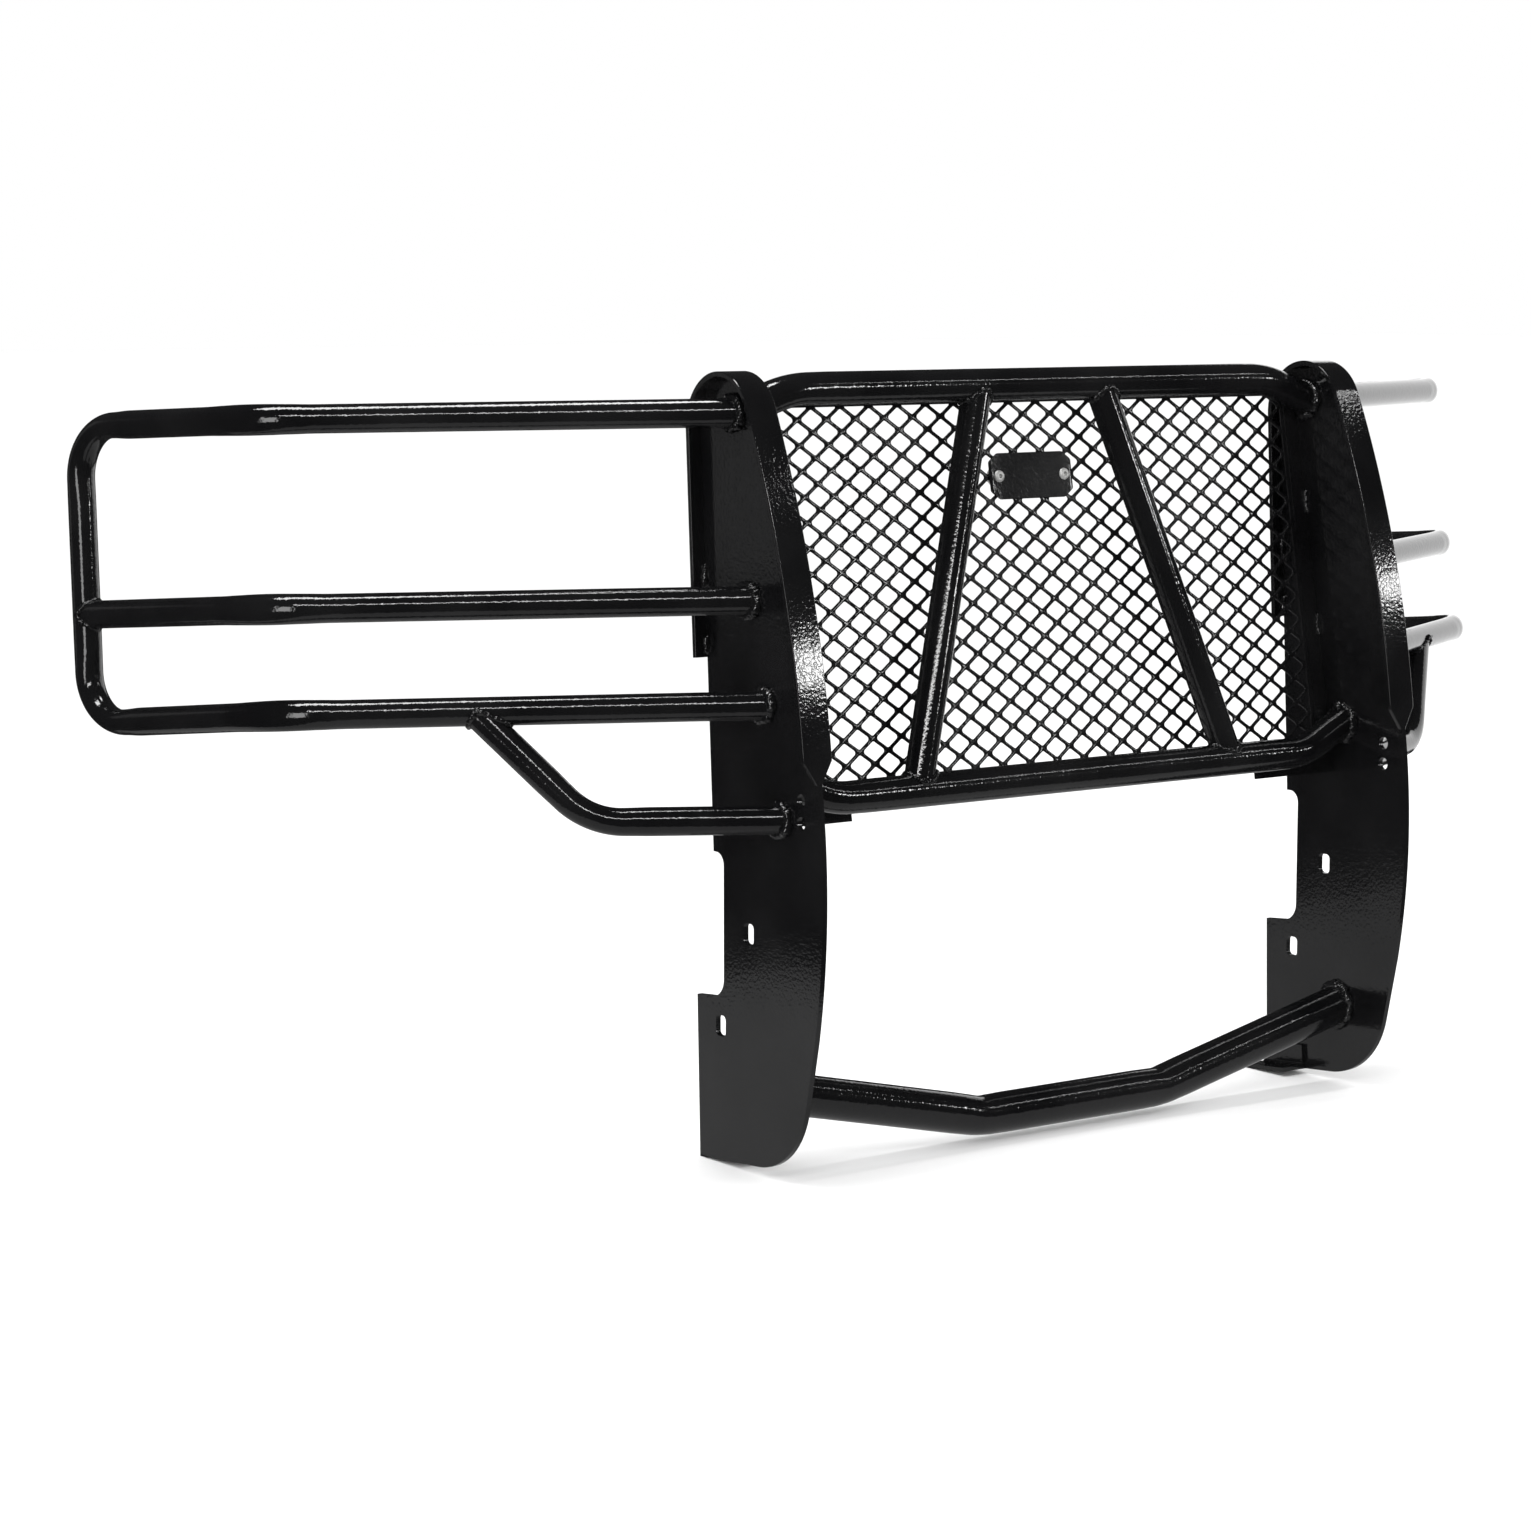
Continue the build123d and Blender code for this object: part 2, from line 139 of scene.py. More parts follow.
def noise_node(nodes, links, coords, scale, detail):
    """A noise texture read in object space."""
    texture = nodes.new("ShaderNodeTexNoise")
    texture.inputs["Scale"].default_value = scale
    texture.inputs["Detail"].default_value = detail
    links.new(coords.outputs["Object"], texture.inputs["Vector"])
    return texture


def ramp(nodes, links, source, low, high):
    """Maps a 0 to 1 texture value onto the range from low to high."""
    mapped = nodes.new("ShaderNodeMapRange")
    mapped.inputs["From Min"].default_value = 0.3
    mapped.inputs["From Max"].default_value = 0.7
    mapped.inputs["To Min"].default_value = low
    mapped.inputs["To Max"].default_value = high
    links.new(source, mapped.inputs["Value"])
    return mapped.outputs["Result"]


def colour_mix(nodes, links, source, dark, light):
    """A colour between dark and light by a texture value."""
    mix = nodes.new("ShaderNodeValToRGB")
    mix.color_ramp.elements[0].position = 0.35
    mix.color_ramp.elements[0].color = (*dark, 1)
    mix.color_ramp.elements[1].position = 0.7
    mix.color_ramp.elements[1].color = (*light, 1)
    links.new(source, mix.inputs["Fac"])
    return mix.outputs["Color"]


def bump(nodes, links, height, strength, distance, below=None):
    """A bump node, stacked on another one when given."""
    node = nodes.new("ShaderNodeBump")
    node.inputs["Strength"].default_value = strength
    node.inputs["Distance"].default_value = distance
    links.new(height, node.inputs["Height"])
    if below:
        links.new(below, node.inputs["Normal"])
    return node.outputs["Normal"]


SLOW_SCALE = 9
WAVE_SCALE = 70
PEEL_SCALE = 270
DUST_SCALE = 1500
DUST_ROUGHNESS = 0.03


def powder_coat(name, dark, light, smooth, rough, peel):
    """Powder coat: near black, with orange peel, slow waviness and fine dust."""
    material, nodes, links, shader, coords = new_material(name)
    slow = noise_node(nodes, links, coords, SLOW_SCALE, 4)
    peel_noise = noise_node(nodes, links, coords, PEEL_SCALE, 1)
    wave_noise = noise_node(nodes, links, coords, WAVE_SCALE, 2)
    dust = noise_node(nodes, links, coords, DUST_SCALE, 3)
    links.new(colour_mix(nodes, links, slow.outputs["Fac"], dark, light), shader.inputs["Base Color"])
    mixed = nodes.new("ShaderNodeMath")
    mixed.operation = "ADD"
    links.new(ramp(nodes, links, slow.outputs["Fac"], smooth, rough), mixed.inputs[0])
    links.new(ramp(nodes, links, dust.outputs["Fac"], 0.0, DUST_ROUGHNESS), mixed.inputs[1])
    links.new(mixed.outputs[0], shader.inputs["Roughness"])
    wavy = bump(nodes, links, wave_noise.outputs["Fac"], 0.2, 0.0005)
    peeled = bump(nodes, links, peel_noise.outputs["Fac"], peel, 0.0004, wavy)
    links.new(peeled, shader.inputs["Normal"])
    shader.inputs["Specular IOR Level"].default_value = 0.5
    shader.inputs["Coat Weight"].default_value = 0.15
    shader.inputs["Coat Roughness"].default_value = 0.05
    return material


def bright_steel(name):
    """Plated fastener steel with fine turning marks and a little tarnish."""
    material, nodes, links, shader, coords = new_material(name)
    tarnish = noise_node(nodes, links, coords, 180, 4)
    marks = nodes.new("ShaderNodeTexWave")
    marks.wave_type = "RINGS"
    marks.rings_direction = "Y"
    marks.inputs["Scale"].default_value = 900
    marks.inputs["Distortion"].default_value = 2
    links.new(coords.outputs["Object"], marks.inputs["Vector"])
    links.new(
        colour_mix(nodes, links, tarnish.outputs["Fac"], (0.42, 0.42, 0.41), (0.66, 0.66, 0.65)),
        shader.inputs["Base Color"],
    )
    links.new(ramp(nodes, links, tarnish.outputs["Fac"], 0.34, 0.52), shader.inputs["Roughness"])
    links.new(bump(nodes, links, marks.outputs["Fac"], 0.15, 0.0001), shader.inputs["Normal"])
    shader.inputs["Metallic"].default_value = 0.6
    return material


PAINT = powder_coat(
    "powder_coat_gloss", (0.0025, 0.0025, 0.0028), (0.0055, 0.0055, 0.0058), smooth=0.05, rough=0.10, peel=0.5
)
WELD_PAINT = powder_coat(
    "powder_coat_weld", (0.0025, 0.0025, 0.0028), (0.006, 0.006, 0.0063), smooth=0.07, rough=0.15, peel=0.5
)
MESH_PAINT = powder_coat(
    "powder_coat_mesh", (0.003, 0.003, 0.0033), (0.007, 0.007, 0.0073), smooth=0.10, rough=0.18, peel=0.3
)
BADGE_PAINT = powder_coat(
    "powder_coat_badge", (0.003, 0.003, 0.0033), (0.006, 0.006, 0.0063), smooth=0.09, rough=0.15, peel=0.3
)
STEEL = bright_steel("fastener_steel")


# --- mesh building ----------------------------------------------------------------------


def finish_piece(name, vertices, faces, material, replaced=(), smooth_angle=None, flat_faces=False):
    """Turns vertices and faces into a shaded piece; flat_faces keeps broad faces flat between eased edges."""
    data = bpy.data.meshes.new(name)
    data.from_pydata([tuple(v) for v in vertices], [], faces)
    data.validate()
    data.update()
    data.materials.append(material)
    piece = bpy.data.objects.new(name, data)
    bpy.context.scene.collection.objects.link(piece)
    data.shade_smooth()
    if smooth_angle:
        data.set_sharp_from_angle(angle=smooth_angle)
    if flat_faces:
        weighted = piece.modifiers.new("flat_faces", "WEIGHTED_NORMAL")
        weighted.keep_sharp = True
        weighted.weight = 100
    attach(piece, "root")
    if replaced:
        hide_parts(*replaced)
    return piece


def loft(rings, closed=False, caps=True):
    """Vertices and faces of a skin over rings of equal length."""
    count = len(rings[0])
    vertices = [point for ring in rings for point in ring]
    faces = []
    spans = len(rings) if closed else len(rings) - 1
    for i in range(spans):
        first = i * count
        second = ((i + 1) % len(rings)) * count
        for j in range(count):
            k = (j + 1) % count
            faces.append((first + j, first + k, second + k, second + j))
    if caps and not closed:
        for start, flip in ((0, True), ((len(rings) - 1) * count, False)):
            centre = len(vertices)
            vertices.append(sum((Vector(vertices[start + j]) for j in range(count)), Vector()) / count)
            for j in range(count):
                k = (j + 1) % count
                corner = (start + k, start + j, centre) if flip else (start + j, start + k, centre)
                faces.append(corner)
    return vertices, faces


def smooth_step(value):
    """0 below 0, 1 above 1, and an S curve between."""
    value = min(max(value, 0.0), 1.0)
    return value * value * (3 - 2 * value)


def bent_stations(points, radii, bend_step=math.radians(2.5), ease=0.03):
    """Stations on straight runs joined by arcs: (place, direction, side towards the bend's centre, share).

    The share rises from 0 on the straight to 1 at the middle of a bend."""
    stations = [(points[0], (points[1] - points[0]).normalized(), Vector(), 0.0)]
    ease_steps = 5
    for before, corner, after, radius in zip(points, points[1:], points[2:], radii):
        come = (corner - before).normalized()
        leave = (after - corner).normalized()
        turn = come.angle(leave)
        reach = radius * math.tan(turn / 2)
        centre = corner + (leave - come).normalized() * (radius / math.cos(turn / 2))
        axis = come.cross(leave).normalized()
        start = corner - come * reach
        end = corner + leave * reach
        for i in range(ease_steps):
            left = 1 - i / ease_steps
            side = (centre - start).normalized()
            stations.append((start - come * (ease * left), come, side, 0.5 * smooth_step(1 - left)))
        steps = max(8, round(turn / bend_step))
        for i in range(steps + 1):
            spin = Quaternion(axis, turn * i / steps)
            arm = spin @ (start - centre)
            share = 0.5 + 0.5 * math.sin(math.pi * i / steps)
            stations.append((centre + arm, spin @ come, -arm.normalized(), share))
        for i in range(ease_steps - 1, -1, -1):
            left = 1 - i / ease_steps
            side = (centre - end).normalized()
            stations.append((end + leave * (ease * left), leave, side, 0.5 * smooth_step(1 - left)))
    stations.append((points[-1], (points[-1] - points[-2]).normalized(), Vector(), 0.0))
    return stations


FLATTEN_SPREAD = 0.45


def tube_rings(points, radii, radius, flatten=0.0, around=48):
    """Rings round a bent tube, pressed flatter across each bend."""
    stations = bent_stations(points, radii)
    up = Vector((0, 0, 1))
    if abs(stations[0][1].dot(up)) > 0.9:
        up = Vector((0, 1, 0))
    across = stations[0][1].cross(up).normalized()
    rings = []
    for place, direction, side, share in stations:
        across = (across - direction * across.dot(direction)).normalized()
        upward = direction.cross(across)
        ring = []
        for j in range(around):
            angle = 2 * math.pi * j / around
            arm = across * math.cos(angle) + upward * math.sin(angle)
            towards = arm.dot(side)
            pressed = arm - side * (towards * flatten * share)
            square = pressed - side * pressed.dot(side)
            ring.append(place + (pressed + square * (FLATTEN_SPREAD * flatten * share)) * radius)
        rings.append(ring)
    return rings


def cut_to_plane(ring, direction, x):
    """Slides a ring's points along the tube until they lie on the plane at x."""
    return [point + direction * ((x - point.x) / direction.x) for point in ring]


def cope_to_tube(ring, direction, axis_point, axis, radius):
    """Slides a ring's points along direction until they lie on another tube."""
    axis = axis.normalized()
    flat = direction - axis * direction.dot(axis)
    coped = []
    for point in ring:
        offset = point - axis_point
        offset -= axis * offset.dot(axis)
        a = flat.dot(flat)
        b = 2 * offset.dot(flat)
        c = offset.dot(offset) - radius * radius
        root = math.sqrt(max(b * b - 4 * a * c, 0.0))
        coped.append(point + direction * ((-b - root) / (2 * a)))
    return coped


BEAD_STEP = 0.0011
BEAD_RIPPLE = 0.0042
BEAD_UNEVEN = 0.42
BEAD_LUMPS = 0.38
BEAD_WANDER = 0.35


def resample(loop, spacing):
    """Points at an even spacing round a closed loop."""
    lengths = [(loop[(i + 1) % len(loop)] - loop[i]).length for i in range(len(loop))]
    total = sum(lengths)
    count = max(24, round(total / spacing))
    result = []
    i = 0
    passed = 0.0
    for k in range(count):
        target = total * k / count
        while passed + lengths[i] < target:
            passed += lengths[i]
            i += 1
        share = (target - passed) / max(lengths[i], 1e-9)
        result.append(loop[i].lerp(loop[(i + 1) % len(loop)], share))
    return result


def bead_rings(path, radius, closed, seed, around=12):
    """Rings of a weld bead: overlapping scales, uneven width and a path that wanders."""
    rings = []
    count = len(path)
    travelled = 0.0
    for i, place in enumerate(path):
        if closed:
            ahead, behind = path[(i + 1) % count], path[i - 1]
        else:
            ahead, behind = path[min(i + 1, count - 1)], path[max(i - 1, 0)]
        direction = (ahead - behind).normalized()
        across = direction.orthogonal().normalized()
        upward = direction.cross(across)
        scale_share = (travelled / BEAD_RIPPLE) % 1.0
        width = 0.90 + 0.16 * scale_share
        width += BEAD_UNEVEN * noise.noise(place * 95 + Vector((seed, 0, 0)))
        if not closed:
            width *= smooth_step(min(i, count - 1 - i) / 4 + 0.15)
        wander = noise.noise_vector(place * 130 + Vector((0, seed, 0))) * radius * BEAD_WANDER
        ring = []
        for j in range(around):
            angle = 2 * math.pi * j / around
            arm = across * math.cos(angle) + upward * math.sin(angle)
            lump = 1 + BEAD_LUMPS * noise.noise((place + arm * radius) * 360 + Vector((0, 0, seed)))
            ring.append(place + wander + arm * (radius * width * lump))
        rings.append(ring)
        travelled += (ahead - place).length
    return rings


def ring_weld(name, ring, radius, seed):
    """A weld bead all round a tube's end."""
    path = resample(ring, BEAD_STEP)
    vertices, faces = loft(bead_rings(path, radius, True, seed), closed=True)
    return finish_piece(name, vertices, faces, WELD_PAINT)


def line_weld(name, start, end, radius, seed):
    """A short straight weld bead."""
    steps = max(8, round((end - start).length / BEAD_STEP))
    path = [start.lerp(end, i / steps) for i in range(steps + 1)]
    vertices, faces = loft(bead_rings(path, radius, False, seed))
    return finish_piece(name, vertices, faces, WELD_PAINT)


def side_loop(loop, sign):
    """A closed loop of points for one side of the guard, from the one drawn on the left."""
    return [on_side(point, sign) for point in loop]


def mirrored(rings, sign):
    """Rings for one side of the guard, from those drawn on the left, with their faces kept outward."""
    if sign < 0:
        return rings
    return [side_loop(reversed(ring), sign) for ring in rings]


def tube_piece(name, rings, sign, replaced, smooth_angle=math.radians(40)):
    """A tube of the guard from its rings, on the left or right side."""
    vertices, faces = loft(mirrored(rings, sign))
    return finish_piece(name, vertices, faces, PAINT, (replaced,), smooth_angle)


# --- headlight wings and braces ---------------------------------------------------------
WING_FLATTEN = 0.16
WELD_R = 0.0058
SLIM_WELD_R = 0.0034
V_BAR_WELD_R = 0.0038
CAP_STITCH_R = 0.0042
MESH_STITCH_R = 0.0044
WELD_STANDOFF = 0.0022

wing_root = {run: at(-WEB_OUTER_X, *place) for run, place in WING_STARTS.items()}
wing_knee = {run: root + WING_STEP for run, root in wing_root.items()}
wing_tip = {run: wing_knee[run] + step for run, step in TIP_STEPS.items()}
wing_dir = WING_STEP.normalized()
outer_run = wing_tip["top"] - wing_tip["bottom"]
middle_tip = wing_tip["bottom"] + outer_run * MIDDLE_TIP_SHARE
web_cut_x = -WEB_OUTER_X + WEB_BITE

loop_points = [
    wing_root["top"],
    wing_knee["top"],
    wing_tip["top"],
    wing_tip["bottom"],
    wing_knee["bottom"],
    wing_root["bottom"],
]
loop_radii = [WING_BEND_R, LOOP_CORNER_R, LOOP_CORNER_R, WING_BEND_R]
loop_rings = tube_rings(loop_points, loop_radii, WING_R, WING_FLATTEN)
loop_rings[0] = cut_to_plane(loop_rings[0], wing_dir, web_cut_x)
loop_rings[-1] = cut_to_plane(loop_rings[-1], wing_dir, web_cut_x)

middle_rings = tube_rings(
    [wing_root["middle"], wing_knee["middle"], middle_tip], [WING_BEND_R], WING_R, WING_FLATTEN
)
middle_out = (middle_tip - wing_knee["middle"]).normalized()
middle_rings[0] = cut_to_plane(middle_rings[0], wing_dir, web_cut_x)
middle_rings[-1] = cope_to_tube(middle_rings[-1], middle_out, middle_tip, outer_run, WING_R)

brace_root = at(-WEB_OUTER_X, *BRACE_START)
brace_knee = brace_root + BRACE_STEP
brace_top = wing_root["bottom"] + WING_STEP * BRACE_TOP_SHARE
brace_up = (brace_top - brace_knee).normalized()
brace_rings = tube_rings([brace_root, brace_knee, brace_top], [BRACE_BEND_R], WING_R, 0.06)
brace_rings[0] = cut_to_plane(brace_rings[0], BRACE_STEP.normalized(), web_cut_x)
brace_rings[-1] = cope_to_tube(brace_rings[-1], brace_up, brace_top, WING_STEP, WING_R)

wing_tubes = {
    "wing_loop_tube": loop_rings,
    "wing_middle_tube": middle_rings,
    "wing_brace_tube": brace_rings,
}
outer_weld_x = -WEB_OUTER_X - WELD_STANDOFF
wing_welds = {
    "weld_wing_top": cut_to_plane(loop_rings[0], wing_dir, outer_weld_x),
    "weld_wing_bottom": cut_to_plane(loop_rings[-1], wing_dir, outer_weld_x),
    "weld_wing_middle": cut_to_plane(middle_rings[0], wing_dir, outer_weld_x),
    "weld_brace_low": cut_to_plane(brace_rings[0], BRACE_STEP.normalized(), outer_weld_x),
    "weld_brace_top": brace_rings[-1],
    "weld_middle_tip": middle_rings[-1],
}
SLIM_WELDS = ("weld_brace_top", "weld_middle_tip")
for side, sign in SIDES.items():
    for name, rings in wing_tubes.items():
        tube_piece(f"{name}_skin_{side}", rings, sign, f"{name}_{side}")
    for seed, (name, ring) in enumerate(wing_welds.items()):
        radius = SLIM_WELD_R if name in SLIM_WELDS else WELD_R
        ring_weld(f"{name}_{side}", side_loop(ring, sign), radius, seed * 7.3 + sign)

# --- grille tubes, V bars and lower cross bar -------------------------------------------


def cross_rings(left_end, left_bend, bend_radius, radius):
    """Rings of a tube that spans the guard, cut to the inner faces of both webs."""
    points = [left_end, left_bend, on_side(left_bend, 1), on_side(left_end, 1)]
    rings = tube_rings(points, [bend_radius, bend_radius], radius, 0.04)
    direction = (left_bend - left_end).normalized()
    rings[0] = cut_to_plane(rings[0], direction, -WEB_INNER_X - WEB_BITE)
    rings[-1] = cut_to_plane(rings[-1], on_side(direction, 1), WEB_INNER_X + WEB_BITE)
    return rings, direction


top_axis = grille_point(0, GRILLE_HEIGHT)
low_axis = grille_point(0, 0)
cross_tubes = {
    "grille_top_tube": (
        at(-WEB_INNER_X, *GRILLE_TOP_END), top_axis - Vector((GRILLE_BEND_X, 0, 0)), GRILLE_BEND_R, GRILLE_R,
    ),
    "grille_bottom_tube": (
        at(-WEB_INNER_X, *GRILLE_LOW_END), low_axis - Vector((GRILLE_BEND_X, 0, 0)), GRILLE_BEND_R, GRILLE_R,
    ),
    "lower_cross_bar": (
        at(-WEB_INNER_X, *CROSS_END), at(-CROSS_BEND_X, *CROSS_MID), CROSS_BEND_R, CROSS_R,
    ),
}
for seed, (name, (left_end, left_bend, bend_radius, radius)) in enumerate(cross_tubes.items()):
    rings, direction = cross_rings(left_end, left_bend, bend_radius, radius)
    tube_piece(f"{name}_skin", rings, -1, name)
    left_ring = cut_to_plane(rings[0], direction, -WEB_INNER_X + WELD_STANDOFF)
    for side, sign in SIDES.items():
        ring_weld(f"weld_{name}_{side}", side_loop(left_ring, sign), WELD_R, 50 + seed * 5.1 + sign)

v_low = grille_point(-V_BAR_LOW_X, 0)
v_top = grille_point(-V_BAR_TOP_X, GRILLE_HEIGHT)
v_dir = (v_top - v_low).normalized()
v_rings = tube_rings([v_low.lerp(v_top, 0.1), v_low.lerp(v_top, 0.9)], [], V_BAR_R)
ACROSS = Vector((1, 0, 0))
v_rings.insert(0, cope_to_tube(v_rings[0], -v_dir, v_low, ACROSS, GRILLE_R))
v_rings.append(cope_to_tube(v_rings[-1], v_dir, v_top, ACROSS, GRILLE_R))
for side, sign in SIDES.items():
    tube_piece(f"v_bar_skin_{side}", v_rings, sign, f"v_bar_{side}")
    for seed, (place, ring) in enumerate((("low", v_rings[0]), ("top", v_rings[-1]))):
        ring_weld(f"weld_v_bar_{place}_{side}", side_loop(ring, sign), V_BAR_WELD_R, 80 + seed * 3.7 + sign)

# --- cap strips: flat bar bent over each upright ----------------------------------------


def arc_points(centre, radius, start, end, steps):
    """Points on an arc in depth and height."""
    angles = [start + (end - start) * i / steps for i in range(steps + 1)]
    return [(centre[0] + radius * math.cos(a), centre[1] + radius * math.sin(a)) for a in angles]


def cap_path():
    """Outer face of the strip in depth and height, from its rear end over the crown to its point."""
    crown_end = math.pi - CROWN_FRONT_ANGLE
    crown = arc_points(CROWN_CENTRE, CROWN_RADIUS, -REAR_LEAN, crown_end, 60)
    rear_top = crown[0]
    drop = rear_top[1] - CAP_REAR_END_H
    rear_low = (rear_top[0] - drop * math.tan(REAR_LEAN), CAP_REAR_END_H)
    gap = CROWN_RADIUS - FRONT_ARC_RADIUS
    front_centre = (CROWN_CENTRE[0] + gap * math.cos(crown_end), CROWN_CENTRE[1] + gap * math.sin(crown_end))
    front = arc_points(front_centre, FRONT_ARC_RADIUS, crown_end, math.pi - FRONT_END_ANGLE, 60)
    path = [rear_low] + crown + front[1:]
    end = path[-1]
    for i in range(1, 14):
        along = CAP_POINT_LENGTH * i / 13
        path.append((end[0] - math.sin(FRONT_END_ANGLE) * along, end[1] - math.cos(FRONT_END_ANGLE) * along))
    return path


def strip_section(half_width, thickness, corner, steps=4):
    """A flat bar's section with rounded edges: (across, depth below the outer face)."""
    corner = min(corner, half_width * 0.6)
    section = []
    corners = (
        (half_width - corner, corner, -90),
        (half_width - corner, thickness - corner, 0),
        (corner - half_width, thickness - corner, 90),
        (corner - half_width, corner, 180),
    )
    for across, below, start in corners:
        for i in range(steps + 1):
            angle = math.radians(start + 90 * i / steps)
            section.append((across + corner * math.cos(angle), below + corner * math.sin(angle)))
    return section


def cap_rings():
    """Rings of the left cap strip, narrowing to a point at the front end."""
    path = cap_path()
    rings = []
    point_h = path[-1][1]
    for i, (depth, height) in enumerate(path):
        before = path[max(i - 1, 0)]
        after = path[min(i + 1, len(path) - 1)]
        run = Vector((after[0] - before[0], after[1] - before[1])).normalized()
        inward = Vector((-run.y, run.x))
        half = CAP_WIDTH / 2
        is_front = depth < CROWN_CENTRE[0] - CROWN_RADIUS
        if is_front and height < point_h + CAP_POINT_LENGTH:
            share = (height - point_h) / CAP_POINT_LENGTH
            half = PLATE_T / 2 + (CAP_WIDTH - PLATE_T) / 2 * max(share, 0)
        ring = []
        for across, below in strip_section(half, CAP_T, CAP_EDGE_R):
            place = at(-UPRIGHT_X + across, depth, height)
            ring.append(place + Vector((0, inward.x, inward.y)) * below)
        rings.append(ring)
    return rings


left_cap = cap_rings()
for side, sign in SIDES.items():
    vertices, faces = loft(mirrored(left_cap, sign))
    finish_piece(
        f"cap_strip_skin_{side}", vertices, faces, PAINT, (f"cap_strip_{side}",),
        math.radians(35), flat_faces=True,
    )

# --- stitch welds -----------------------------------------------------------------------


def rear_leg_point(height, across):
    """A point on the corner between the web and the rear leg of the left cap strip."""
    rear_d = CROWN_CENTRE[0] + (CROWN_RADIUS - CAP_T) / math.cos(REAR_LEAN)
    rear_d -= (CROWN_CENTRE[1] - height) * math.tan(REAR_LEAN)
    return at(-UPRIGHT_X + across, rear_d - 0.001, height)


def side_bar_point(height):
    """A point on the corner between the left web and the front of the mesh side bar."""
    along = (height - GRILLE_LOW[1] + MESH_SETBACK * math.sin(GRILLE_LEAN)) / math.cos(GRILLE_LEAN)
    return grille_point(-WEB_INNER_X + 0.001, along, MESH_SETBACK - 0.0035)


STITCHES = ((0.640, 0.676), (0.574, 0.598))
MESH_STITCHES = ((0.700, 0.732), (0.552, 0.580))
for side, sign in SIDES.items():
    for face, across in (("outer", -PLATE_T / 2 - 0.001), ("inner", PLATE_T / 2 + 0.001)):
        for k, stitch in enumerate(STITCHES):
            start, end = (on_side(rear_leg_point(height, across), sign) for height in stitch)
            line_weld(f"weld_cap_{face}_{k}_{side}", start, end, CAP_STITCH_R, 120 + k * 11 + sign)
    for k, stitch in enumerate(MESH_STITCHES):
        start, end = (on_side(side_bar_point(height), sign) for height in stitch)
        line_weld(f"weld_mesh_bar_{k}_{side}", start, end, MESH_STITCH_R, 150 + k * 9 + sign)

# --- mesh panel: pressed sheet with rounded diamond holes -------------------------------
HOLE_POINTS = 24
STRAND_ANGLE = math.atan2(MESH_PITCH_S, MESH_PITCH_X)
HOLE_HALF_X = MESH_PITCH_X / 2 - MESH_STRAND / 2 / math.sin(STRAND_ANGLE)
HOLE_HALF_S = MESH_PITCH_S / 2 - MESH_STRAND / 2 / math.cos(STRAND_ANGLE)
HOLE_CORNER_R = 0.0034
HOLE_CORNER_REACH = 1.35
MESH_CROWN_DROP = 0.0002
MESH_SHOULDER = 0.0007
MESH_EDGE_SHARE = 0.22
MESH_HALF_W = MESH_COLUMNS * MESH_PITCH_X / 2
MESH_HALF_L = MESH_ROWS * MESH_PITCH_S / 2


def cell_outline():
    """Points round a diamond cell: its four corners, and points spaced evenly along its edges."""
    half_x, half_s = MESH_PITCH_X / 2, MESH_PITCH_S / 2
    corners = [(half_x, 0), (0, half_s), (-half_x, 0), (0, -half_s)]
    points = []
    for (x0, s0), (x1, s1) in zip(corners, corners[1:] + corners[:1]):
        for i in range(HOLE_POINTS // 4):
            share = i / (HOLE_POINTS // 4)
            points.append((x0 + (x1 - x0) * share, s0 + (s1 - s0) * share))
    return points


def hole_outline(inset):
    """Points round a diamond hole with rounded corners, matched one to one with the cell's."""
    a = HOLE_HALF_X + inset / math.sin(STRAND_ANGLE)
    b = HOLE_HALF_S + inset / math.cos(STRAND_ANGLE)
    radius = HOLE_CORNER_R + inset
    side_x = a - radius / math.sin(STRAND_ANGLE)
    side_s = b - radius / math.cos(STRAND_ANGLE)
    centres = ((side_x, 0, 0), (0, side_s, 90), (-side_x, 0, 180), (0, -side_s, 270))
    per_corner = HOLE_POINTS // 4
    points = []
    for k, (cx, cs, facing) in enumerate(centres):
        spread = 90 - math.degrees(STRAND_ANGLE) if k % 2 == 0 else math.degrees(STRAND_ANGLE)
        for i in range(per_corner):
            share = i / (per_corner / 2)
            if share < 1:
                angle = math.radians(facing + spread * share * HOLE_CORNER_REACH)
                points.append((cx + radius * math.cos(angle), cs + radius * math.sin(angle)))
            elif share == 1:
                nx, ns, _ = centres[(k + 1) % 4]
                angle = math.radians(facing + spread)
                here = (cx + radius * math.cos(angle), cs + radius * math.sin(angle))
                there = (nx + radius * math.cos(angle), ns + radius * math.sin(angle))
                points.append(((here[0] + there[0]) / 2, (here[1] + there[1]) / 2))
            else:
                nx, ns, next_facing = centres[(k + 1) % 4]
                next_spread = 90 - spread
                angle = math.radians(next_facing - next_spread * (2 - share) * HOLE_CORNER_REACH)
                points.append((nx + radius * math.cos(angle), ns + radius * math.sin(angle)))
    return points


